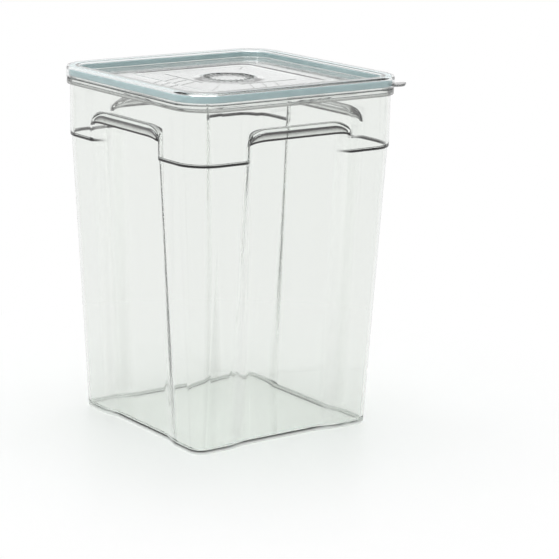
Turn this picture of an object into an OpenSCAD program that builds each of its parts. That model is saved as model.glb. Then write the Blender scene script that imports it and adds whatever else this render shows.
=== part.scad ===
// Clear square food container with hand recesses on four sides and a press-on lid.
// Origin: middle of the underside. +Z is up, the flat sides face X and Y, the lid tab points to +X -Y.

/* [Body] */
// Height to the top of the rim
bin_h = 395.5; // [380:1:420]
// Width across the collar at its lower edge
collar_w = 281; // [278:1:290]
// How much further out each side of the collar is at the rim
collar_lean = 0.5; // [0:0.1:1.5]
// Height of the step where the collar ends above the corner columns
step_z = 326; // [310:1:330]
// Depth of that step on each side
step_in = 1.6; // [1:0.1:2.6]
// Width across the corner columns at the base
base_w = 239; // [234:1:250]
// Corner radius at the base
base_corner_r = 14; // [10:0.5:20]
// Wall thickness
wall = 3; // [2:0.1:3.6]
// Floor thickness
floor_t = 3.5; // [2:0.1:6]
// Height of the slope round the bottom edge
foot_h = 4; // [2:0.5:6]
// How far that slope goes in
foot_in = 3; // [1:0.5:4]

/* [Rim flange] */
// How far the flange stands out from the collar
flange_out = 3.5; // [3.2:0.1:5]
// Height of the flange with its hanging edge
flange_h = 7; // [5:0.5:10]
// Thickness of the flange shelf
shelf_t = 3.2; // [2:0.1:4]
// Thickness of the hanging edge
edge_t = 1.5; // [1:0.1:2]
// Height of the bare rim above the flange
rim_h = 2.7; // [1.5:0.1:4]

/* [Hand recesses] */
// Width of a recess at the face of the columns
recess_w = 136; // [120:1:150]
// Depth of a recess at the base
recess_foot = 5.5; // [3:0.1:7]
// Depth of a recess level with the step
recess_top = 11.5; // [9:0.5:13]
// Sideways lean of the recess flanks for each millimetre of depth
flank_lean = 0.8; // [0.3:0.05:1]
// Height of the shelf over a recess
arch_z = 358; // [350:1:362]
// Length of the level part of the shelf
arch_flat = 90; // [70:1:110]
// Drop of the shelf from its level part to its ends
arch_drop = 13.5; // [10:0.5:18]
// Length of the finger edge that hangs below the shelf
grip_drop = 9.5; // [7:0.5:12]
// Thickness of the finger edge
grip_t = 3; // [2:0.1:3.5]

/* [Lid] */
// Width of the lid
lid_w = 290; // [288:0.5:294]
// Thickness of the outer skirt
skirt_t = 2.5; // [1.5:0.1:2.8]
// Gap between the skirt and the flange of the body
skirt_gap = 0.5; // [0.3:0.1:1]
// Thickness of the raised border
border_t = 2.6; // [2:0.1:3.5]
// Width of the raised border
border_w = 14; // [13:0.5:18]
// Depth of the well inside the border
well_d = 8.8; // [8:0.1:10]
// Thickness of the lid floor and of the well wall
lid_t = 2.5; // [2:0.1:3]
// Width of the sunken middle panel
panel_w = 162; // [140:1:180]
// Corner radius of the middle panel
panel_corner_r = 14; // [6:1:20]
// Depth of the middle panel below the lid floor
panel_sink = 1; // [0.6:0.1:1.2]
// Radius of the ring in the middle
ring_r = 30.7; // [20:0.1:40]
// Width of the ring
ring_t = 1.6; // [1:0.1:3]
// Number of tick marks inside the ring
ring_ticks = 24; // [0:1:36]
// Height of the ring and of the fine ribs above the floor they stand on
rib_h = 0.6; // [0.4:0.1:1.2]
// Width of the fine ribs
rib_t = 1; // [0.6:0.1:2]

/* [Lift tab] */
// Width of the tab
tab_w = 24; // [16:1:32]
// Length of the tab beyond the corner
tab_l = 13; // [8:1:20]
// Thickness of the tab
tab_t = 2; // [1.5:0.1:3]
// Height of the tab root above the lower edge of the skirt
tab_rise = 2.2; // [1:0.1:4]
// Upward lean of the tab in degrees
tab_lean = 11; // [0:1:15]

/* [Gasket] */
// Height of the gasket
gasket_h = 8.2; // [6:0.1:9]
// Gap between the gasket and the rim of the body
seal_gap = 0.3; // [0.2:0.1:0.6]
// Gap between the gasket and the walls of its channel
channel_gap = 0.2; // [0.1:0.05:0.4]
// Width of the groove in the underside of the gasket
groove_w = 4; // [2:0.5:5]
// Depth of that groove
groove_d = 2.2; // [1:0.1:4]

/* [Hidden] */
$fn = 96;

// Overlap that keeps cuts and joined solids from sharing a face
eps = 0.5;
// Steps in a quarter of the arch over a recess
arch_steps = 6;

// Half widths; every rounded square shares the corner axes at corner_c
base_hw = base_w / 2;
collar_hw = collar_w / 2;
rim_hw = collar_hw + collar_lean;
column_hw = collar_hw - step_in;
flange_hw = rim_hw + flange_out;
lid_hw = lid_w / 2;
corner_c = base_hw - base_corner_r;

// Levels of the body
flange_top = bin_h - rim_h;
flange_z = flange_top - flange_h;
lean = (column_hw - base_hw) / step_z;
draft = atan(lean);

// Levels of the lid
skirt_z = flange_top + skirt_gap;
gasket_z = bin_h + seal_gap;
border_z = gasket_z + gasket_h;
lid_top = border_z + border_t;
lid_floor_z = lid_top - well_d;
panel_z = lid_floor_z - panel_sink;
well_hw = lid_hw - border_w;

// Recess geometry
recess_hw = recess_w / 2;
panel_face = base_hw - recess_foot;
panel_lean = (column_hw - recess_top - panel_face) / step_z;
// Reach of the cutting solids past the body
reach = 20;

// Fine ribs of the lid: distance of the long rib from the middle, its ends, and the slanting ribs
long_rib_d = 47;
long_rib_ends = [-16, 60];
short_rib_starts = [-6, 11, 28];
short_rib_l = 57;
short_rib_near = 50;
short_rib_angle = 26;
corner_rib_near = [61, 126];
corner_rib_far = [73, 90];
tick_l = 3;
tick_t = 0.8;

// Solid rounded square whose sides lean from half width hw0 at z0 to hw1 at z1
module block(z0, z1, hw0, hw1) {
    for (turn = [0, 90])
        rotate([90, 0, turn])
            translate([0, 0, -corner_c])
                linear_extrude(2 * corner_c)
                    polygon([[-hw0, z0], [hw0, z0], [hw1, z1], [-hw1, z1]]);
    for (x = [-1, 1], y = [-1, 1])
        translate([x * corner_c, y * corner_c, z0])
            cylinder(h = z1 - z0, r1 = hw0 - corner_c, r2 = hw1 - corner_c);
}

// Half of an arch: quarter ellipse from the level part down to its end, in x and z
function arch_side(side, flat, run, top, drop) = [
    for (i = [0:arch_steps])
        let (a = 90 * (side > 0 ? arch_steps - i : i) / arch_steps)
            [-side * (flat + run * sin(a)), top - drop * (1 - cos(a))]
];

// Face outline of a recess from below the base up to its arched top, grown by grow
function arch_outline(top, drop, grow) =
    let (flat = arch_flat / 2, run = recess_hw - flat + grow, far = recess_hw + grow)
        concat([[-far - reach, -reach], [-far - reach, top - drop]],
            arch_side(1, flat, run, top, drop),
            arch_side(-1, flat, run, top, drop),
            [[far + reach, top - drop], [far + reach, -reach]]);

// Space of one recess on the -Y side; grow makes it larger by a wall on the inside of the body
module recess(grow) {
    face = panel_face - grow;
    top = arch_z + grow;
    side = recess_hw + grow * sqrt(1 + flank_lean * flank_lean);
    intersection() {
        rotate([90, 0, 0])
            linear_extrude(collar_hw + reach)
                arch_2d(top, arch_drop + grow, grow);
        rotate([90, 0, -90])
            translate([0, 0, -recess_hw - reach])
                linear_extrude(2 * (recess_hw + reach))
                    polygon([
                        [face - reach * panel_lean, -reach],
                        [collar_hw + reach, -reach],
                        [collar_hw + reach, top + reach],
                        [face + (top + reach) * panel_lean, top + reach]]);
        translate([0, -base_hw, 0])
            rotate([draft, 0, 0])
                translate([0, 0, -reach])
                    linear_extrude(arch_z + 3 * reach)
                        polygon([
                            [-side - reach * flank_lean, -reach],
                            [side + reach * flank_lean, -reach],
                            [side - (recess_top + 2 * reach) * flank_lean, recess_top + 2 * reach],
                            [-side + (recess_top + 2 * reach) * flank_lean, recess_top + 2 * reach]]);
    }
}

// Face of a recess as a flat shape
module arch_2d(top, drop, grow) {
    polygon(arch_outline(top, drop, grow));
}

// Space that the hanging finger edge keeps out of the recess on the -Y side
module grip_space() {
    translate([0, grip_t - collar_hw, 0])
        rotate([90, 0, 0])
            linear_extrude(reach)
                difference() {
                    arch_2d(arch_z + eps, arch_drop + eps, 0);
                    arch_2d(arch_z - grip_drop, arch_drop - grip_drop, 0);
                }
}

// The body: one moulding with its rim flange and the four hand recesses
module bin_body() {
    color([0.9, 0.93, 0.92, 0.5])
        difference() {
            union() {
                block(0, foot_h, base_hw - foot_in, base_hw + foot_h * lean);
                block(foot_h, step_z + eps, base_hw + foot_h * lean, column_hw + eps * lean);
                block(step_z, bin_h, collar_hw, rim_hw);
                block(flange_z, flange_top, flange_hw, flange_hw);
            }
            flange_hollow();
            for (turn = [0:90:270])
                rotate(turn)
                    difference() {
                        recess(0);
                        grip_space();
                    }
            inside();
        }
}

// Room under the flange shelf behind its hanging edge
module flange_hollow() {
    hollow_hw = flange_hw - edge_t;
    difference() {
        block(flange_z - eps, flange_top - shelf_t, hollow_hw, hollow_hw);
        block(step_z, bin_h, collar_hw, rim_hw);
    }
}

// Room inside the body, one wall away from its outer faces
module inside() {
    ledge_z = step_z + wall;
    difference() {
        union() {
            block(floor_t, ledge_z + eps, base_hw + floor_t * lean - wall, column_hw + (wall + eps) * lean - wall);
            block(ledge_z, bin_h + eps, collar_hw - wall, rim_hw - wall);
        }
        for (turn = [0:90:270])
            rotate(turn)
                recess(wall);
    }
}

// The lid: border, skirt, well and tab in one moulding
module lid() {
    color([0.88, 0.92, 0.92, 0.5]) {
        difference() {
            block(skirt_z, lid_top, lid_hw, lid_hw);
            difference() {
                block(skirt_z - eps, border_z, lid_hw - skirt_t, lid_hw - skirt_t);
                block(lid_floor_z - lid_t, lid_top, well_hw + lid_t, well_hw + lid_t);
            }
            block(lid_floor_z, lid_top + eps, well_hw, well_hw);
            middle_panel(0);
        }
        panel_ring();
        difference() {
            lid_ribs(lid_floor_z);
            middle_panel(0);
        }
        intersection() {
            lid_ribs(panel_z);
            middle_panel(eps);
        }
        lift_tab();
    }
}

// Space over the sunken square in the middle of the lid, grown by grow
module middle_panel(grow) {
    c = panel_w / 2 - panel_corner_r;
    side = panel_w + 2 * grow;
    translate([0, 0, panel_z - grow])
        linear_extrude(lid_top - panel_z)
            union() {
                square([side, 2 * c], center = true);
                square([2 * c, side], center = true);
                for (x = [-c, c], y = [-c, c])
                    translate([x, y])
                        circle(panel_corner_r + grow);
            }
}

// Raised ring in the middle of the panel, with tick marks inside it
module panel_ring() {
    translate([0, 0, panel_z - eps])
        difference() {
            cylinder(h = rib_h + eps, r = ring_r);
            translate([0, 0, -eps])
                cylinder(h = rib_h + 3 * eps, r = ring_r - ring_t);
        }
    for (i = [1:ring_ticks])
        rotate(360 * i / ring_ticks)
            translate([ring_r - ring_t - tick_l, -tick_t / 2, panel_z - eps])
                cube([tick_l + ring_t / 2, tick_t, rib_h + eps]);
}

// One fine rib on a floor at height z, from a to b, both given as x and y
module rib(a, b, z) {
    run = b - a;
    translate([a[0], a[1], z - eps])
        rotate(atan2(run[1], run[0]))
            translate([0, -rib_t / 2, 0])
                cube([norm(run), rib_t, rib_h + eps]);
}

// Fine ribs on the two sides beside the -X -Y corner, and on that diagonal, on a floor at height z
module lid_ribs(z) {
    for (swap = [0, 1])
        mirror([swap, -swap, 0]) {
            rib([long_rib_ends[0], -long_rib_d], [long_rib_ends[1], -long_rib_d], z);
            for (s = short_rib_starts)
                rib([s, -short_rib_near],
                    [s - short_rib_l * sin(short_rib_angle), -short_rib_near - short_rib_l * cos(short_rib_angle)], z);
        }
    rotate(-135)
        rib([corner_rib_near[0], 0], [corner_rib_near[1], 0], z);
    rotate(45)
        rib([corner_rib_far[0], 0], [corner_rib_far[1], 0], z);
}

// Tab at the +X -Y corner, rising outwards
module lift_tab() {
    round_r = tab_w / 4;
    corner_r = lid_hw - corner_c;
    rotate(-45)
        translate([corner_c * sqrt(2) + corner_r - skirt_t / 2, 0, skirt_z + tab_rise])
            rotate([0, -tab_lean, 0])
                linear_extrude(tab_t)
                    union() {
                        translate([0, -tab_w / 2])
                            square([tab_l + skirt_t / 2 - round_r, tab_w]);
                        translate([0, round_r - tab_w / 2])
                            square([tab_l + skirt_t / 2, tab_w - 2 * round_r]);
                        for (y = [-1, 1])
                            translate([tab_l + skirt_t / 2 - round_r, y * (tab_w / 2 - round_r)])
                                circle(round_r);
                    }
}

// The gasket: a soft ring in the channel of the lid, grooved to take the rim
module gasket() {
    out_hw = lid_hw - skirt_t - channel_gap;
    in_hw = well_hw + lid_t + channel_gap;
    mid_hw = (out_hw + in_hw) / 2;
    color([0.55, 0.66, 0.7])
        difference() {
            block(gasket_z, border_z, out_hw, out_hw);
            block(gasket_z - eps, border_z + eps, in_hw, in_hw);
            difference() {
                block(gasket_z - eps, gasket_z + groove_d, mid_hw + groove_w / 2, mid_hw + groove_w / 2);
                block(gasket_z - 2 * eps, gasket_z + groove_d + eps, mid_hw - groove_w / 2, mid_hw - groove_w / 2);
            }
        }
}

bin_body();
lid();
gasket();
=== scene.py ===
"""Clear square food storage bin with a clear lid and a soft seal, in a white studio."""
import math

import bmesh
import bpy
import numpy as np
from mathutils import Matrix, Vector


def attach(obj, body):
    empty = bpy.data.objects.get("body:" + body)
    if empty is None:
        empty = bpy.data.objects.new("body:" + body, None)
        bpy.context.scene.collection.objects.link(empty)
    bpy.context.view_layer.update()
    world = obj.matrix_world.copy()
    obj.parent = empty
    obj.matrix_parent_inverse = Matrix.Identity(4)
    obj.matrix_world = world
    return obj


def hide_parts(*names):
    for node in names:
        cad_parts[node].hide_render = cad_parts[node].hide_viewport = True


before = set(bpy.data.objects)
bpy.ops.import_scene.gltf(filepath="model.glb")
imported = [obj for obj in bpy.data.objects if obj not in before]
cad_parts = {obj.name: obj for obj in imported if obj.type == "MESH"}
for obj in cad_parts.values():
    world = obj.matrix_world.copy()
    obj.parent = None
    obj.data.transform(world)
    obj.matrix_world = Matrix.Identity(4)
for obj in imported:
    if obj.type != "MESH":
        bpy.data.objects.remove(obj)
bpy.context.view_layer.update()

MM = 0.001

# ---------------------------------------------------------------- finishes
EDGE_SHADE = "edge_shade"   # on the mesh: 1 is painted near-black shade along an edge, below 0 is painted white light
FROST_Z = 397.4             # height between the lid floor and its panel, mm,
FROST_REACH = 1.1           # and how far from it a face is still frosted


def add_node(tree, kind, inputs=None, **settings):
    """A new node in a tree, with its settings and the values of its input sockets."""
    node = tree.nodes.new(kind)
    for key, value in settings.items():
        setattr(node, key, value)
    for key, value in (inputs or {}).items():
        node.inputs[key].default_value = value
    return node


def new_material(name):
    """A new material, its node tree, and its output node, which is the only one in it."""
    mat = bpy.data.materials.new(name)
    mat.use_nodes = True
    mat.node_tree.nodes.clear()
    return mat, mat.node_tree, add_node(mat.node_tree, "ShaderNodeOutputMaterial")


def two_stops(tree, first, second):
    """A colour ramp between two stops, each given as its place and its colour."""
    ramp = add_node(tree, "ShaderNodeValToRGB")
    for stop, (position, colour) in zip(ramp.color_ramp.elements, (first, second)):
        stop.position, stop.color = position, (*colour, 1)
    return ramp


def blend_shaders(tree, share, first, second):
    """The mix of two shader sockets, where share is how much of the second shows."""
    mix = add_node(tree, "ShaderNodeMixShader")
    tree.links.new(share, mix.inputs["Fac"])
    tree.links.new(first, mix.inputs[1])
    tree.links.new(second, mix.inputs[2])
    return mix.outputs["Shader"]


def bumped(tree, place, body, scale, detail, strength, distance):
    """Give a shader a fine relief of noise on Object coordinates."""
    relief = add_node(tree, "ShaderNodeTexNoise", {"Scale": scale, "Detail": detail})
    bump = add_node(tree, "ShaderNodeBump", {"Strength": strength, "Distance": distance})
    tree.links.new(place, relief.inputs["Vector"])
    tree.links.new(relief.outputs["Fac"], bump.inputs["Height"])
    tree.links.new(bump.outputs["Normal"], body.inputs["Normal"])


def clear_plastic(name, colour, edge, absorb, density, wave, frost):
    """Clear moulded plastic: glassy, faintly wavy, and with painted shade along tight edges.

    The edge shade turns colour towards edge: a painted near-black shade that stands in for light
    trapped in tight edges. Below 0 it is painted light instead, white and scattering: on the foot,
    and in strips on the flanks. absorb and density tint a long way through the plastic, wave is the
    strength of its ripple, and frost is the extra roughness of the lid floor and its sunken panel,
    found by their height. Light that only casts a shadow passes straight through.
    """
    mat, tree, out = new_material(name)
    link = tree.links.new
    place = add_node(tree, "ShaderNodeTexCoord").outputs["Object"]
    body = add_node(tree, "ShaderNodeBsdfPrincipled", {"IOR": 1.5})
    shade = add_node(tree, "ShaderNodeAttribute", attribute_name=EDGE_SHADE).outputs["Fac"]
    # painted shade: the edge shade mixes the colour towards near black along tight edges
    tint = add_node(tree, "ShaderNodeMix", {"A": (*colour, 1), "B": (*edge, 1)}, data_type="RGBA")
    link(shade, tint.inputs["Factor"])
    link(tint.outputs["Result"], body.inputs["Base Color"])
    # painted light: below 0 the edge shade takes away transmission, so the plastic shows white there
    clarity = add_node(tree, "ShaderNodeMath", {1: 1.0}, operation="ADD", use_clamp=True)
    link(shade, clarity.inputs[0])
    link(clarity.outputs["Value"], body.inputs["Transmission Weight"])

    cloud = add_node(tree, "ShaderNodeTexNoise", {"Scale": 9, "Detail": 3})
    haze = add_node(tree, "ShaderNodeMapRange", {
        "From Min": 0.35, "From Max": 0.75, "To Min": 0, "To Max": 0.05})
    height = add_node(tree, "ShaderNodeSeparateXYZ")
    frosted = add_node(tree, "ShaderNodeMath", {1: FROST_Z * MM, 2: FROST_REACH * MM},
                       operation="COMPARE")
    rough = add_node(tree, "ShaderNodeMath", {1: frost}, operation="MULTIPLY_ADD")
    link(place, cloud.inputs["Vector"])
    link(cloud.outputs["Fac"], haze.inputs["Value"])
    link(place, height.inputs["Vector"])
    link(height.outputs["Z"], frosted.inputs[0])
    link(frosted.outputs["Value"], rough.inputs[0])
    link(haze.outputs["Result"], rough.inputs[2])
    link(rough.outputs["Value"], body.inputs["Roughness"])
    bumped(tree, place, body, scale=5, detail=1, strength=wave, distance=0.004)

    straight = add_node(tree, "ShaderNodeBsdfTransparent")
    link(tint.outputs["Result"], straight.inputs["Color"])
    shadow = add_node(tree, "ShaderNodeLightPath").outputs["Is Shadow Ray"]
    mix = blend_shaders(tree, shadow, body.outputs["BSDF"], straight.outputs["BSDF"])
    link(mix, out.inputs["Surface"])
    deep = add_node(tree, "ShaderNodeVolumeAbsorption", {"Color": (*absorb, 1), "Density": density})
    link(deep.outputs["Volume"], out.inputs["Volume"])
    return mat


def silicone(name):
    """Soft matt sealing ring, blue grey and faintly clouded, with a fine grain."""
    mat, tree, out = new_material(name)
    link = tree.links.new
    place = add_node(tree, "ShaderNodeTexCoord").outputs["Object"]
    body = add_node(tree, "ShaderNodeBsdfPrincipled", {"Roughness": 0.5})
    cloud = add_node(tree, "ShaderNodeTexNoise", {"Scale": 40, "Detail": 4})
    tint = two_stops(tree, (0.3, (0.34, 0.475, 0.49)), (0.7, (0.41, 0.545, 0.56)))
    link(place, cloud.inputs["Vector"])
    link(cloud.outputs["Fac"], tint.inputs["Fac"])
    link(tint.outputs["Color"], body.inputs["Base Color"])
    bumped(tree, place, body, scale=1500, detail=2, strength=0.15, distance=0.0003)
    link(body.outputs["BSDF"], out.inputs["Surface"])
    return mat


# edge is the colour of the painted shade along tight edges
body_clear = clear_plastic(
    "body clear plastic", colour=(0.92, 0.93, 0.915), edge=(0.0015, 0.001, 0.0012),
    absorb=(0.50, 0.62, 0.57), density=8, wave=0.04, frost=0)
lid_clear = clear_plastic(
    "lid clear plastic", colour=(0.975, 0.985, 0.985), edge=(0.012, 0.01, 0.008),
    absorb=(0.50, 0.60, 0.60), density=12, wave=0.03, frost=0.06)
seal_soft = silicone("seal silicone")

# ---------------------------------------------------------------- sizes in mm, as in the solids
CORNER_C = 105.5            # distance of every corner's axis from the middle
BASE_HW = 119.5             # half widths: foot of the columns,
COLUMN_HW = 138.9           # columns at the step,
COLLAR_HW = 140.5           # collar at the step,
RIM_HW = 141.0              # rim,
FLANGE_HW = 144.5           # flange
LID_HW = 145.0              # and lid
BIN_H = 395.5               # heights on the bin: rim,
FLANGE_TOP = 392.8          # top of the flange,
FLANGE_Z = 385.8            # lower edge of the flange
STEP_Z = 326.0              # and step
WALL = 3.0                  # thicknesses: wall,
FLOOR_T = 3.5               # floor,
SHELF_T = 3.2               # shelf of the flange
EDGE_T = 1.5                # and its hanging edge
RECESS_HW = 68.0            # half width of a side recess at the top,
RECESS_FOOT = 5.5           # its depth at the base
RECESS_TOP = 11.5           # and at the step
ARCH_Z = 358.0              # top of the arch over a recess,
ARCH_FLAT = 45.0            # half width of its level middle
ARCH_DROP = 13.5            # and how far its ends lie lower
GRIP_DROP = 9.5             # how far the finger edge hangs below the arch,
GRIP_T = 3.0                # and its thickness

SKIRT_Z = 393.3             # heights on the lid: lower edge of the skirt,
PANEL_Z = 396.8             # sunken panel,
LID_FLOOR_Z = 397.8         # floor of the well,
BORDER_Z = 404.0            # roof of the channel for the seal
LID_TOP = 406.6             # and top of the border
LID_T = 2.5                 # thicknesses: lid
SKIRT_T = 2.5               # and skirt
WELL_HW = 131.0             # half width of the well
PANEL_HW = 81.0             # and of the panel,
PANEL_R = 14.0              # and the panel's corner radius
RING_R = 30.7               # outer radius of the ring,
RING_T = 1.6                # and its width
RIB_T = 1.0                 # width of a fine rib
TAB_W = 24.0                # width of the lift tab,
TAB_T = 2.0                 # and its thickness
GASKET_Z = 395.8            # underside of the seal,
GASKET_OUT = 142.3          # its outer
GASKET_IN = 133.7           # and inner half widths,
GROOVE_W = 4.0              # width of its groove
GROOVE_D = 2.2              # and the groove's depth

# sizes in mm that only the visual model has, or has in its own way
ARCH_SIDE = 7.0             # narrow strip of columns beside an arch
LIP_FADE = 3.0              # length over which a finger edge dies out
INNER_SPREAD = 1.4          # how much wider the flanks are inside than outside
RING_H = 1.6                # height of the ring,
TICK_L = 5.0                # and length of the ticks inside it
RIB_H = 0.27                # height of a fine rib
TAB_L = 14.2                # length of the lift tab,
TAB_RISE = 2.0              # its height above the skirt's edge
TAB_LEAN = 5.0              # and its upward lean in degrees
GASKET_GAP = 0.15           # air between the seal and the roof of its channel

# edge shades: painted shade above 0, painted light below 0
LINE_H = 2.3                # height of the painted shade line along the step and the finger edges, mm
# painted shade over the flange band: faint at its top, more in the middle, darkest at its foot
FLANGE_TOP_DARK, FLANGE_DARK, FLANGE_FOOT_DARK = 0.1, 0.42, 0.72
# painted shade along the lid skirt's edge, inside the ring and over the lift tab
SKIRT_DARK, RING_DARK, TAB_DARK = 0.78, 0.7, 0.7
# painted light: the foot's edge turned white, standing in for light that leaves the base there
FOOT_PAINTED_LIGHT = -0.85
# painted light: pale strips over the flanks of the recesses
FLANK_PAINTED_LIGHT = 0.2


# ---------------------------------------------------------------- surface helpers
def ease(t):
    """Smooth ramp from 0 to 1: three t squared less two t cubed."""
    t = np.clip(t, 0, 1)
    return t * t * (3 - 2 * t)


def rounded(rows):
    """Rows of a surface with each marked row turned into a fillet, and its edge shade as a fourth number.

    rows holds (points, radius, steps) and, where an edge has one, its shade. A fillet is the
    quadratic curve that starts a radius before its row, ends a radius after it and is pulled
    towards it, never past 45% of the way to a neighbour. It has its row's shade all over.
    """
    out = []
    for k, (p, radius, steps, *shade) in enumerate(rows):
        dark = np.zeros((len(p), 1)) + (np.reshape(shade[0], (-1, 1)) if shade else 0)
        if not steps:
            out.append(np.hstack([p, dark]))
            continue
        ends = []
        for q in (rows[k - 1][0], rows[(k + 1) % len(rows)][0]):
            run = q - p
            length = np.maximum(np.linalg.norm(run, axis=1, keepdims=True), 1e-9)
            ends.append(p + run * np.minimum(radius / length, 0.45))
        for t in np.linspace(0, 1, steps + 1):
            curve = ends[0] * (1 - t) ** 2 + p * 2 * t * (1 - t) + ends[1] * t * t
            out.append(np.hstack([curve, dark]))
    return out


def quarters(rows):
    """Four turned copies of the quarter rows, as one array of rows by columns by 4."""
    x, y, *rest = np.moveaxis(np.stack(rows)[:, :-1], -1, 0)
    turned = [np.stack([*p, *rest], axis=-1) for p in ((x, y), (-y, x), (-x, -y), (y, -x))]
    return np.concatenate(turned, axis=1)


def grid_mesh(grid, wrap_rows=False):
    """Points and quads of a grid whose columns run round and close."""
    n, m = grid.shape[:2]
    index = np.arange(n * m).reshape(n, m)
    low, high = (index, np.roll(index, -1, axis=0)) if wrap_rows else (index[:-1], index[1:])
    quads = np.stack([low, np.roll(low, -1, axis=1), np.roll(high, -1, axis=1), high], axis=-1)
    return grid.reshape(n * m, -1), quads.reshape(-1, 4)


def new_object(name, data):
    """An object linked into the scene."""
    obj = bpy.data.objects.new(name, data)
    bpy.context.scene.collection.objects.link(obj)
    return obj


def make_piece(name, parts, mat, body, node):
    """One piece from closed parts in mm: doubles merged, faces outwards, smooth where it bends.

    A part whose points have no shade gets 0. A part is turned round where its volume, the sum of
    the signed volumes of its faces seen from the origin, is below 0.
    """
    joined, faces, shades, start = [], [], [], 0
    for points, quads in parts:
        shades.append(points[:, 3] if points.shape[1] > 3 else np.zeros(len(points)))
        points = points[:, :3]
        a, b, c, d = (points[quads[:, i]] for i in range(4))
        volume = (a * np.cross(b, c) + a * np.cross(c, d)).sum()
        joined.append(points)
        faces.append((quads if volume > 0 else quads[:, ::-1]) + start)
        start += len(points)
    mesh = bpy.data.meshes.new(name)
    mesh.from_pydata(np.concatenate(joined) * MM, [], np.concatenate(faces).tolist())
    mesh.attributes.new(EDGE_SHADE, "FLOAT", "POINT").data.foreach_set("value", np.concatenate(shades))
    work = bmesh.new()
    work.from_mesh(mesh)
    bmesh.ops.remove_doubles(work, verts=work.verts, dist=1e-5)
    work.to_mesh(mesh)
    work.free()
    mesh.polygons.foreach_set("use_smooth", np.ones(len(mesh.polygons), dtype=bool))
    mesh.materials.append(mat)
    mesh.update()
    obj = new_object(name, mesh)
    even = obj.modifiers.new("even shading", "WEIGHTED_NORMAL")
    even.weight = 100
    even.keep_sharp = True
    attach(obj, body)
    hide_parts(node)


# ---------------------------------------------------------------- the body
# columns of a half side: round the corner, on the column, over the flank, along the arch, in its middle
ARC_N, COL_N, EDGE_N, ARCH_N, FLAT_N = 12, 3, 5, 14, 6
STRAIGHT_N = COL_N + EDGE_N + ARCH_N + FLAT_N
GRIP_END_Z = ARCH_Z - ARCH_DROP


def both(left, sign=1):
    """A half row and its mirror image, sharing the middle column."""
    return np.concatenate([left, sign * left[-2::-1]])


def half_x(*stops):
    """Half row of x: still round the corner, then evenly through the stops."""
    counts = (COL_N, EDGE_N, ARCH_N, FLAT_N)
    runs = [np.linspace(p, q, n + 1)[1:] for p, q, n in zip((-CORNER_C,) + stops, stops, counts)]
    return np.concatenate([np.full(ARC_N + 1, -CORNER_C)] + runs)


def arch(edge, z_end, z_top):
    """Row of x and z of an arch: level at z_end out to its edge, a quarter ellipse, level at z_top."""
    s = np.linspace(np.pi / 2, 0, ARCH_N + 1)[1:]
    x = np.concatenate([half_x(-edge - ARCH_SIDE, -edge), -ARCH_FLAT - (edge - ARCH_FLAT) * np.sin(s),
                        np.linspace(-ARCH_FLAT, 0, FLAT_N + 1)[1:]])
    z = np.concatenate([np.full(ARC_N + 1 + COL_N + EDGE_N, z_end),
                        z_top - (z_top - z_end) * (1 - np.cos(s)), np.full(FLAT_N, z_top)])
    return both(x, -1), both(z)


PHI = both(np.concatenate([np.linspace(np.pi / 4, 0, ARC_N + 1), np.zeros(STRAIGHT_N)]), -1)
EVEN_X = both(half_x(-84.0, -66.0, -32.0, 0.0), -1)     # on the rim and the flange
STEP_X = both(half_x(-76.0, -69.0, -50.0, 0.0), -1)     # on the step
BASE_X = both(half_x(-84.0, -74.0, -44.0, 0.0), -1)     # at the base


def level(z):
    """A row at one height."""
    return np.full_like(PHI, z)


def on_side(x, hw, z):
    """Points on the -Y side at half width hw: straight at x, and round the corner axis by PHI."""
    x, hw, z = np.broadcast_arrays(x, hw, z)
    r = hw - CORNER_C
    return np.stack([x - r * np.sin(PHI), -CORNER_C - r * np.cos(PHI), z], axis=-1)


def column_face(z):
    """Half width of the corner columns, which lean evenly from the base to the step."""
    return BASE_HW + (COLUMN_HW - BASE_HW) * z / STEP_Z


def collar_face(z):
    """Half width of the collar, which leans evenly from the step to the rim."""
    return COLLAR_HW + (RIM_HW - COLLAR_HW) * (z - STEP_Z) / (BIN_H - STEP_Z)


def sunk(x, z, spread):
    """Share of the recess depth at x: a smooth ramp over the flank, wider at the base than at the step.

    The ramp runs from 80 to 48 mm off the middle at the base, and from 71.5 to 56 mm at the step,
    and the whole of it lies spread further out.
    """
    share = np.minimum(z / STEP_Z, 1.05)
    outer = 80 - 8.5 * share + spread
    inner = 48 + 8 * share + spread
    return ease((outer - np.abs(x)) / (outer - inner))


def recess_depth(z):
    """Full depth of a recess behind the columns at height z."""
    return RECESS_FOOT + (RECESS_TOP - RECESS_FOOT) * z / STEP_Z


def lower_face(x, z, spread=0):
    """Half width below the step: the column less its recess."""
    return column_face(z) - sunk(x, z, spread) * recess_depth(z)


def upper_face(x, z, spread=0):
    """Half width between step and arch: the collar less the recess, which ends at the same panel."""
    return collar_face(z) - sunk(x, z, spread) * (collar_face(z) - column_face(z) + recess_depth(z))


def inner_lower(x, z):
    """Half width of the inside below the step: a wall behind wider flanks."""
    return lower_face(x, z, INNER_SPREAD) - WALL


def inner_upper(x, z):
    """Half width of the inside between step and arch: a wall behind wider flanks."""
    return upper_face(x, z, INNER_SPREAD) - WALL


def run_down(face, start, end, count):
    """Rows on a face that run evenly from start to end, each given as x and z.

    They carry painted light over the flanks, most where the recess is half its depth.
    """
    rows = []
    for t in np.linspace(0, 1, count):
        x, z = start[0] + (end[0] - start[0]) * t, start[1] + (end[1] - start[1]) * t
        share = sunk(x, z, 0)
        # painted light over the flanks
        rows.append((on_side(x, face(x, z), z), 0, 0, -FLANK_PAINTED_LIGHT * 4 * share * (1 - share)))
    return rows


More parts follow.
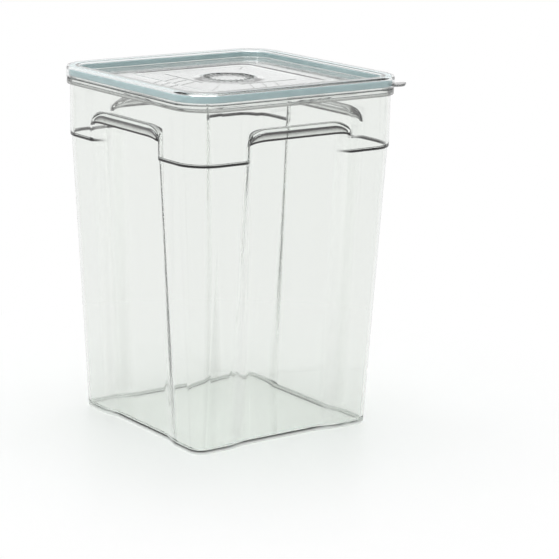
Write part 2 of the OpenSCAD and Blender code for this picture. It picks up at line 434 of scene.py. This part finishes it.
def bin_outside():
    """Rows from the rim down the outside to the middle of the underside.

    Over a recess the collar is carried on down to the height low as a finger edge, GRIP_T thick, and
    the surface runs up behind it to the arch at the height high. Beside the recess low and high are
    the same, and the rows between them lie together.
    """
    x, low = arch(RECESS_HW, GRIP_END_Z, ARCH_Z - GRIP_DROP)
    _, high = arch(RECESS_HW, GRIP_END_Z, ARCH_Z)
    lip_on = ease((RECESS_HW - np.abs(x)) / LIP_FADE)
    # painted shade along the finger edges, dying out beside the recess
    lip_painted_shade = ease((RECESS_HW + LIP_FADE - np.abs(x)) / LIP_FADE)
    total = collar_face(low) - upper_face(x, low)
    front = (1 - lip_on) * total
    behind = front + lip_on * np.minimum(GRIP_T, total)
    high = low + (high - low) * ease((total - GRIP_T) / 2)
    above = low + 3 + 6 * (1 - lip_on)
    top_z = FLANGE_TOP - SHELF_T
    hang = FLANGE_HW - EDGE_T
    rows = [
        (on_side(EVEN_X, RIM_HW, BIN_H), 0.8, 3),
        (on_side(EVEN_X, collar_face(FLANGE_TOP), FLANGE_TOP), 0.8, 3),
        # painted shade down the flange's outer face
        (on_side(EVEN_X, FLANGE_HW, FLANGE_TOP), 1.4, 4, FLANGE_TOP_DARK),
        (on_side(EVEN_X, FLANGE_HW, (FLANGE_TOP + FLANGE_Z) / 2), 0, 0, FLANGE_DARK),
        (on_side(EVEN_X, FLANGE_HW, FLANGE_Z), 1.6, 3, FLANGE_FOOT_DARK),
        (on_side(EVEN_X, hang, FLANGE_Z), 0.7, 3),
        (on_side(EVEN_X, hang, top_z), 1.0, 3),
        (on_side(EVEN_X, collar_face(top_z), top_z), 1.2, 3),
        (on_side(x, collar_face(above), above), 0, 0),
        (on_side(x, collar_face(low + LINE_H) - front, low + LINE_H), 0, 0, lip_painted_shade),
        (on_side(x, collar_face(low) - front, low), 1.2, 5, lip_painted_shade),
        (on_side(x, collar_face(low) - behind, low), 1.2, 4),
        (on_side(x, collar_face(low) - behind, high - LINE_H * lip_on), 0, 0, lip_painted_shade),
        (on_side(x, collar_face(low) - behind, high), 1.0, 4, lip_painted_shade),
        (on_side(x, upper_face(x, high), high), 3.0, 5),
    ]
    rows += run_down(upper_face, (x, high - 4), (STEP_X, level(STEP_Z + 3)), 5)
    # painted shade along the step, none over the recess
    step_painted_shade = 1 - sunk(STEP_X, STEP_Z, 0)
    rows += [(on_side(STEP_X, upper_face(STEP_X, STEP_Z + LINE_H), STEP_Z + LINE_H), 0, 0, step_painted_shade),
             (on_side(STEP_X, upper_face(STEP_X, STEP_Z), STEP_Z), 1.1, 5, step_painted_shade),
             (on_side(STEP_X, lower_face(STEP_X, STEP_Z), STEP_Z), 1.5, 4)]
    rows += run_down(lower_face, (STEP_X, level(STEP_Z - 3)), (BASE_X, level(5)), 14)
    # painted white light round the foot's fillet
    foot = on_side(BASE_X, lower_face(BASE_X, 0), 0)
    return rows + [(foot, 4.5, 7, FOOT_PAINTED_LIGHT), (foot * [0.95, 0.95, 1], 0, 0), (foot * [0, 0, 1], 0, 0)]


def bin_inside():
    """Rows from the rim down the inside to the middle of the floor, one wall in from the outside."""
    x, high = arch(RECESS_HW + WALL, GRIP_END_Z, ARCH_Z + WALL)
    ledge = STEP_Z + WALL
    rows = [
        (on_side(EVEN_X, RIM_HW - WALL, BIN_H), 0.8, 3),
        (on_side(x, collar_face(high + 6) - WALL, high + 6), 0, 0),
        (on_side(x, collar_face(high) - WALL, high), 2.5, 5),
        (on_side(x, inner_upper(x, high), high), 3.5, 5),
    ]
    rows += run_down(inner_upper, (x, high - 3.5), (STEP_X, level(ledge + 3)), 5)
    rows += [(on_side(STEP_X, inner_upper(STEP_X, ledge), ledge), 1.5, 5),
             (on_side(STEP_X, inner_lower(STEP_X, ledge), ledge), 1.5, 4)]
    # painted shade on the inside just under the ledge, behind the step's line
    step_painted_shade = 1 - sunk(STEP_X, ledge, 0)
    for z in (ledge - 1.2, ledge - 2.8):
        rows.append((on_side(STEP_X, inner_lower(STEP_X, z), z), 0, 0, step_painted_shade))
    rows += run_down(inner_lower, (STEP_X, level(ledge - 3.6)), (BASE_X, level(15)), 14)
    edge = on_side(BASE_X, inner_lower(BASE_X, FLOOR_T), FLOOR_T)
    return rows + [(edge, 8, 7), (edge * [0.85, 0.85, 1], 0, 0), (edge * [0, 0, 1], 0, 0)]


def bin_surface():
    """The whole bin as one closed surface: its underside, outside, rim, inside and floor."""
    return grid_mesh(quarters(rounded(bin_outside()[::-1] + bin_inside())))


# ---------------------------------------------------------------- the lid
LID_ARC = 12                # columns round a quarter of a corner
TICKS = 6                   # ticks of the ring in a quarter, 15 degrees apart
TICK_STEPS = np.array([0, 0.8, 1.15, 2.6, 4.2, 5.9, 7.5, 9.1, 10.8, 12.4, 13.85, 14.2])    # in degrees
LID_N = TICKS * len(TICK_STEPS)
TURN_DEG = np.concatenate([np.add.outer(np.arange(TICKS) * 15, TICK_STEPS).ravel(), [90]])
TURN = TURN_DEG * np.pi / 180 - np.pi / 4
ALONG = np.linspace(-1, 1, LID_N - 2 * LID_ARC + 1)
LID_PHI = np.concatenate([np.linspace(np.pi / 4, 0, LID_ARC + 1)[:-1], np.zeros(len(ALONG)),
                          -np.linspace(0, np.pi / 4, LID_ARC + 1)[1:]])
LID_X = np.concatenate([np.full(LID_ARC, -1.0), ALONG, np.full(LID_ARC, 1.0)])


def square_ring(hw, r, z):
    """A quarter of a rounded square of half width hw and corner radius r at height z."""
    c = hw - r
    x, y = LID_X * c - r * np.sin(LID_PHI), -c - r * np.cos(LID_PHI)
    return np.stack([x, y, np.full(LID_N + 1, float(z))], axis=-1)


def lid_ring(hw, z):
    """A quarter of a square ring of half width hw at height z, round the lid's own corner axes."""
    return square_ring(hw, hw - CORNER_C, z)


def round_ring(r, z):
    """A quarter of a circle of radius r at height z, a number or one for each column."""
    return np.stack([r * np.sin(TURN), -r * np.cos(TURN), np.zeros(LID_N + 1) + z], axis=-1)


def lid_surface():
    """The lid without its tab: a profile of rounded squares and circles, closed over and under.

    It starts in the middle of the panel and runs over the ring, the well, the border and the skirt,
    through the channel and back to the middle underneath. The ticks are the columns next to every
    15 degrees, which are raised to the ring's height, up, inside it.
    """
    # the ticks carry full painted shade
    tick = np.isin(np.arange(LID_N + 1) % len(TICK_STEPS), (0, 1, len(TICK_STEPS) - 1)).astype(float)
    low, up = PANEL_Z, PANEL_Z + RING_H
    tick_z = low + (up - low) * tick
    ring_in = RING_R - RING_T
    under, drop = LID_FLOOR_Z - LID_T, LID_FLOOR_Z - PANEL_Z
    rows = [
        (round_ring(0, low), 0, 0),
        (round_ring(14, low), 0, 0),
        (round_ring(ring_in - TICK_L - 1.3, low), 0, 0),
        (round_ring(ring_in - TICK_L - 1.2, tick_z), 0, 0, tick),
        # painted shade inside the ring
        (round_ring(ring_in - 0.2, tick_z), 0, 0, RING_DARK),
        (round_ring(ring_in, up), 0, 0, RING_DARK),
        (round_ring(RING_R, up), 0, 0),
        (round_ring(RING_R + 3, low), 0, 0),
        (round_ring(RING_R + 12, low), 0, 0),
        (square_ring(PANEL_HW - 6, PANEL_R - 4, low), 0, 0),
        (square_ring(PANEL_HW - 3, PANEL_R - 2, low), 1.6, 4),
        (square_ring(PANEL_HW + 1, PANEL_R + 1, LID_FLOOR_Z), 1.6, 4),
        (square_ring(PANEL_HW + 8, PANEL_R + 6, LID_FLOOR_Z), 0, 0),
        (lid_ring(WELL_HW - 8, LID_FLOOR_Z), 0, 0),
        (lid_ring(WELL_HW, LID_FLOOR_Z), 3.0, 6),
        (lid_ring(WELL_HW, LID_TOP), 1.0, 4),
        (lid_ring(LID_HW, LID_TOP), 3.4, 7),
        (lid_ring(LID_HW, SKIRT_Z + 1.8), 0, 0),
        # painted shade along the skirt's lower edge
        (lid_ring(LID_HW, SKIRT_Z), 1.0, 4, SKIRT_DARK),
        (lid_ring(LID_HW - SKIRT_T, SKIRT_Z), 0.9, 3),
        (lid_ring(LID_HW - SKIRT_T, BORDER_Z), 2.2, 5),
        (lid_ring(WELL_HW + LID_T, BORDER_Z), 1.2, 3),
        (lid_ring(WELL_HW + LID_T, under), 3.6, 6),
        (lid_ring(WELL_HW - 6, under), 0, 0),
        (square_ring(PANEL_HW + 0.6, PANEL_R + 0.8, under), 1.6, 4),
        (square_ring(PANEL_HW - 3.4, PANEL_R - 2.2, under - drop), 1.6, 4),
        (round_ring(30, under - drop), 0, 0),
        (round_ring(0, under - drop), 0, 0),
    ]
    return grid_mesh(quarters(rounded(rows)))


def bar(a, b, width, z0, z1):
    """A fine straight rib from a to b, as a strip closed at its ends.

    Across it the height is a quarter of the rib's at the sides and the rest as a half sine, and
    the foot is 15% wider.
    """
    a, b = np.array(a, float), np.array(b, float)
    run = (b - a) / np.linalg.norm(b - a)
    side = np.array([-run[1], run[0]])
    turn = np.linspace(0, np.pi, 7)
    across = np.concatenate([[1.15], np.cos(turn), [-1.15]]) * width / 2
    up = np.concatenate([[0], 0.25 + 0.75 * np.sin(turn), [0]]) * (z1 - z0) + z0
    grow = np.array([0, 1.0, 1.0, 0])[:, None]
    mid = a + np.outer([0, 0, 1.0, 1.0], b - a)
    points = np.zeros((4, len(across), 3))
    points[..., 0] = mid[:, :1] + grow * across * side[0]
    points[..., 1] = mid[:, 1:] + grow * across * side[1]
    points[..., 2] = np.where(grow > 0, up, z0)
    return grid_mesh(points)


RIB_NEAR = 50.0             # how far from the middle the short ribs start, mm,
RIB_RUN = 57.0              # their length
RIB_ANGLE = math.radians(26)    # and their slant
RIB_ROOT = 0.1              # how deep every rib starts in its floor, mm
CUT_IN, CUT_OUT = 0.12, 0.06    # shares of a short rib left out inside and outside the panel's edge


def lid_ribs():
    """Fine ribs beside the -X -Y corner, twice by mirror, and the two on that diagonal.

    A rib that leaves the middle panel is cut there, and its outer part lies on the lid floor.
    """
    cut = (PANEL_HW - RIB_NEAR) / (RIB_RUN * math.cos(RIB_ANGLE))
    on_panel, on_floor = [((-16, -47), (60, -47))], []
    for x in (-6, 11, 28):
        a = np.array([x, -RIB_NEAR])
        run = -RIB_RUN * np.array([math.sin(RIB_ANGLE), math.cos(RIB_ANGLE)])
        on_panel.append((a, a + run * (cut - CUT_IN)))
        on_floor.append((a + run * (cut + CUT_OUT), a + run))
    for group in (on_panel, on_floor):
        group += [(a[::-1], b[::-1]) for a, b in list(group)]
    diagonal = math.sqrt(0.5) * np.ones(2)
    on_panel += [(-61 * diagonal, -100 * diagonal), (73 * diagonal, 90 * diagonal)]
    on_floor += [(-113 * diagonal, -126 * diagonal)]
    return [bar(a, b, RIB_T, z - RIB_ROOT, z + RIB_H)
            for group, z in ((on_panel, PANEL_Z), (on_floor, LID_FLOOR_Z)) for a, b in group]


def tab_surface():
    """The lift tab: a rounded tongue as rings, from its middle line out, over its edge and back under.

    It is drawn flat, leant up about its root, set on the skirt's corner and turned onto the diagonal.
    """
    a = np.linspace(0, 2 * np.pi, 64, endpoint=False)
    corner = TAB_W / 4
    edge_x = np.sign(np.cos(a)) * (TAB_L / 2 - corner) + corner * np.cos(a)
    edge_y = np.sign(np.sin(a)) * (TAB_W / 2 - corner) + corner * np.sin(a)
    grow = np.array([0, 0.6, 0.96, 1, 0.96, 0.6, 0])[:, None]
    lift = np.array([1, 1, 1, 0, -1, -1, -1])[:, None] * TAB_T / 2
    along, y = edge_x * grow + TAB_L / 2, edge_y * grow
    up = lift + TAB_T / 2
    root = CORNER_C * math.sqrt(2) + LID_HW - CORNER_C - 1.5
    lean, azim = math.radians(TAB_LEAN), math.radians(-45)
    x = root + along * math.cos(lean) - up * math.sin(lean)
    z = SKIRT_Z + TAB_RISE + along * math.sin(lean) + up * math.cos(lean)
    placed = [x * math.cos(azim) - y * math.sin(azim), x * math.sin(azim) + y * math.cos(azim), z]
    # the tab carries painted shade all over
    return grid_mesh(np.stack(placed + [np.full_like(x, TAB_DARK)], -1))


# ---------------------------------------------------------------- the seal
def gasket_surface():
    """The sealing ring: a closed profile with rounded edges and a groove, carried round the lid."""
    mid = (GASKET_OUT + GASKET_IN) / 2
    groove_in, groove_out = mid - GROOVE_W / 2, mid + GROOVE_W / 2
    roof = GASKET_Z + GROOVE_D
    top = BORDER_Z - GASKET_GAP
    rows = [
        (lid_ring(GASKET_OUT, top), 2.4, 5),
        (lid_ring(GASKET_OUT, GASKET_Z), 0.8, 3),
        (lid_ring(groove_out, GASKET_Z), 0.5, 2),
        (lid_ring(groove_out, roof), 0.8, 3),
        (lid_ring(groove_in, roof), 0.8, 3),
        (lid_ring(groove_in, GASKET_Z), 0.5, 2),
        (lid_ring(GASKET_IN, GASKET_Z), 0.8, 3),
        (lid_ring(GASKET_IN, top), 1.4, 4),
    ]
    return grid_mesh(quarters(rounded(rows)), wrap_rows=True)


make_piece("bin_shell", [bin_surface()], body_clear, "bin", "bin_body")
make_piece("lid_shell", [lid_surface(), tab_surface()] + lid_ribs(), lid_clear,
           "lid_and_seal", "lid")
make_piece("seal_ring", [gasket_surface()], seal_soft, "lid_and_seal", "gasket")

# ---------------------------------------------------------------- stage
FLOOR_R = 12                # half width of the studio floor, m
FLOOR_GAP = 0.0002          # air under the base, so that its plastic ends before the floor, m


def floor_material():
    """White studio floor, faintly glossy near the bin, which fades to plain white further out."""
    mat, tree, out = new_material("studio floor")
    link = tree.links.new
    body = add_node(tree, "ShaderNodeBsdfPrincipled", {
        "Base Color": (0.95, 0.96, 0.955, 1), "Roughness": 0.28, "Specular IOR Level": 0.35})
    white = add_node(tree, "ShaderNodeEmission", {"Strength": 1.0})
    place = add_node(tree, "ShaderNodeTexCoord")
    reach = add_node(tree, "ShaderNodeVectorMath", operation="LENGTH")
    fade = add_node(tree, "ShaderNodeMapRange", {"From Min": 0.2, "From Max": 0.55},
                    interpolation_type="SMOOTHSTEP")
    link(place.outputs["Object"], reach.inputs[0])
    link(reach.outputs["Value"], fade.inputs["Value"])
    mix = blend_shaders(tree, fade.outputs["Result"], body.outputs["BSDF"], white.outputs["Emission"])
    link(mix, out.inputs["Surface"])
    return mat


def studio_floor():
    """A plain square floor just under the base."""
    mesh = bpy.data.meshes.new("studio_floor")
    corners = [(x * FLOOR_R, y * FLOOR_R, -FLOOR_GAP) for x, y in ((-1, -1), (1, -1), (1, 1), (-1, 1))]
    mesh.from_pydata(corners, [], [(0, 1, 2, 3)])
    mesh.materials.append(floor_material())
    new_object("studio_floor", mesh)


def studio_world():
    """White to the camera; in gloss and through plastic it darkens upwards, as under a dim ceiling."""
    world = bpy.data.worlds.new("studio")
    bpy.context.scene.world = world
    world.use_nodes = True
    tree = world.node_tree
    link = tree.links.new
    tree.nodes.clear()
    out = add_node(tree, "ShaderNodeOutputWorld")
    white = add_node(tree, "ShaderNodeBackground", {"Color": (1, 1, 1, 1)})
    glow = add_node(tree, "ShaderNodeBackground", {"Color": (1, 1, 1, 1), "Strength": 0.72})
    room = add_node(tree, "ShaderNodeBackground")
    way = add_node(tree, "ShaderNodeTexCoord")
    split = add_node(tree, "ShaderNodeSeparateXYZ")
    ramp = two_stops(tree, (0.42, (1, 1, 1)), (0.75, (0.45, 0.44, 0.43)))
    link(way.outputs["Generated"], split.inputs["Vector"])
    link(split.outputs["Z"], ramp.inputs["Fac"])
    link(ramp.outputs["Color"], room.inputs["Color"])
    path = add_node(tree, "ShaderNodeLightPath")
    bent = add_node(tree, "ShaderNodeMath", operation="MAXIMUM")
    link(path.outputs["Is Glossy Ray"], bent.inputs[0])
    link(path.outputs["Is Transmission Ray"], bent.inputs[1])
    lit = blend_shaders(tree, bent.outputs["Value"],
                        glow.outputs["Background"], room.outputs["Background"])
    seen = blend_shaders(tree, path.outputs["Is Camera Ray"], lit, white.outputs["Background"])
    link(seen, out.inputs["Surface"])


def soft_box(name, place, aim, size, watts):
    """A soft rectangular lamp at place that points at aim."""
    lamp = bpy.data.lights.new(name, "AREA")
    lamp.shape = "RECTANGLE"
    lamp.size, lamp.size_y = size
    lamp.energy = watts
    obj = new_object(name, lamp)
    obj.location = place
    obj.rotation_euler = (Vector(aim) - Vector(place)).to_track_quat("-Z", "Y").to_euler()


studio_floor()
studio_world()
soft_box("top_box", place=(0.15, 0.25, 1.7), aim=(0, 0, 0.2), size=(0.8, 0.8), watts=10)
soft_box("left_box", place=(-1.5, -0.5, 1.0), aim=(0, 0, 0.2), size=(0.25, 1.0), watts=3)

# ---------------------------------------------------------------- camera
PHOTO_PX = 559              # width and height of the photograph
AZIMUTH, ELEVATION, ROLL = math.radians(-34.80), math.radians(12.71), math.radians(0.74)
DISTANCE = 2.538            # from the target, m
TARGET = Vector((0, 0, 0.2))
FOCAL_PX = 2198.1           # focal length in the photograph's pixels
CENTRE_PX = (226.6, 246.94)  # where the camera points in the photograph
SENSOR = 36.0               # mm


def photo_camera():
    """The camera at the photograph's angle, shifted as the photograph is cropped."""
    back = Vector((math.sin(AZIMUTH) * math.cos(ELEVATION), -math.cos(AZIMUTH) * math.cos(ELEVATION),
                   math.sin(ELEVATION)))
    right = back.cross(Vector((0, 0, 1))).normalized() * -1
    up = back.cross(right)
    cam_x = right * math.cos(ROLL) + up * math.sin(ROLL)
    cam_y = up * math.cos(ROLL) - right * math.sin(ROLL)
    turn = Matrix((cam_x, cam_y, back)).transposed().to_4x4()
    cam = bpy.data.cameras.new("camera")
    cam.sensor_width = SENSOR
    cam.lens = FOCAL_PX * SENSOR / PHOTO_PX
    cam.shift_x = (PHOTO_PX / 2 - CENTRE_PX[0]) / PHOTO_PX
    cam.shift_y = (CENTRE_PX[1] - PHOTO_PX / 2) / PHOTO_PX
    camera = new_object("camera", cam)
    camera.matrix_world = Matrix.Translation(TARGET + back * DISTANCE) @ turn
    bpy.context.scene.camera = camera


photo_camera()
bpy.context.scene.view_settings.view_transform = "Standard"
